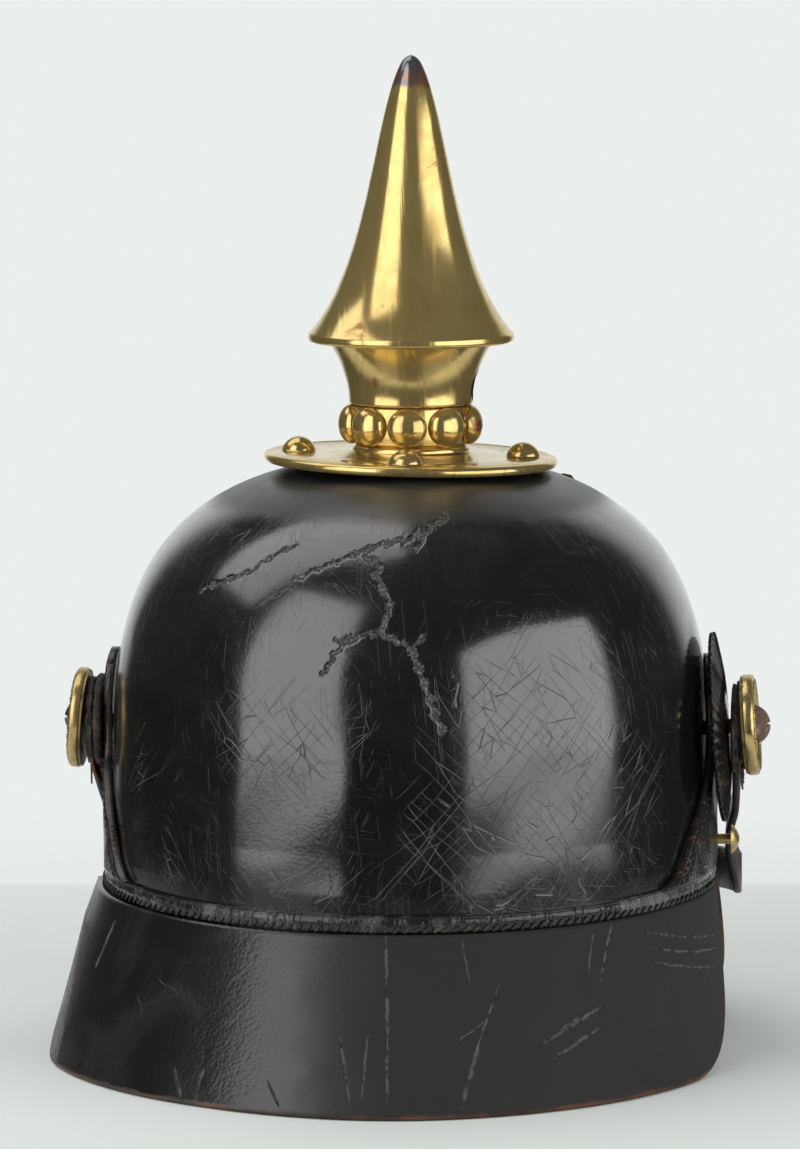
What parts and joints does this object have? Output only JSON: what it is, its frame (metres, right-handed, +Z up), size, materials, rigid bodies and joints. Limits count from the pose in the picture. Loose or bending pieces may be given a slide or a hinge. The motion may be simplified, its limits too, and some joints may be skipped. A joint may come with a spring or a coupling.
{
  "type": "spiked leather helmet",
  "caption": "Black lacquered leather helmet with front and rear visors, a brass spike on a pearled neck and base disc, side rosettes, a pleated cockade and a swinging chinstrap.",
  "frame": {"origin": "on the spike's axis, on the surface that the visors' lower edges stand on", "axes": "+Z up along the spike, +Y to the wearer's front, +X to the wearer's right"},
  "size_m": [0.2182, 0.286, 0.3026],
  "materials": {
    "lacquered_leather": "glossy black lacquer with fine craquelure",
    "visor_leather": "half-gloss black lacquer over a pebbled grain",
    "welt_leather": "black stitched welt, worn",
    "patch_leather": "glossy black leather",
    "lining_leather": "natural brown leather",
    "rough_leather": "rough worn leather",
    "cockade_leather": "glossy black pleats",
    "strap_leather": "worn black strap leather",
    "polished_brass": "polished, aged",
    "satin_brass": "satin, aged",
    "dull_brass": "dull, tarnished",
    "grey_steel": "grey steel",
    "rusty_steel": "rusted brown"
  },
  "bodies": {
    "helmet": {"shell": "lacquered_leather", "rear_visor": "visor_leather", "front_visor": "visor_leather", "rear_visor_band": "welt_leather", "front_visor_band": "welt_leather", "left_side_patch": "patch_leather", "right_side_patch": "patch_leather", "sweatband": "lining_leather", "liner": "lining_leather", "base_disc": "polished_brass", "base_studs": "polished_brass", "stud_washers": "dull_brass", "spike_neck": "polished_brass", "pearl_ring": "polished_brass", "spike_cone": "polished_brass", "front_plate": "polished_brass", "plate_nuts": "dull_brass", "left_backing_plate": "dull_brass", "right_backing_plate": "dull_brass", "left_rosette": "satin_brass", "right_rosette": "satin_brass", "left_boss_screw": "grey_steel", "right_boss_screw": "rusty_steel", "boss_washers": "grey_steel", "boss_nuts": "grey_steel", "left_leather_pad": "rough_leather", "cockade": "cockade_leather", "side_button": "satin_brass"},
    "strap": {"chinstrap": "strap_leather"},
    "left_slide": {"left_strap_slide": "satin_brass"},
    "right_slide": {"right_strap_slide": "satin_brass"}
  },
  "joints": [
    {"name": "strap_lift", "type": "hinge", "parent": "helmet", "child": "strap", "pos_m": [0, 0, 0.097], "axis": [1, 0, 0], "range_deg": [0, 60]},
    {"name": "left_slide_run", "type": "hinge", "parent": "strap", "child": "left_slide", "pos_m": [0.0009, 0.026, 0.0476], "axis": [0, 0.0898, 0.996], "range_deg": [-18, 18]},
    {"name": "right_slide_run", "type": "hinge", "parent": "strap", "child": "right_slide", "pos_m": [0.0009, 0.026, 0.0476], "axis": [0, 0.0898, 0.996], "range_deg": [-18, 18]}
  ]
}
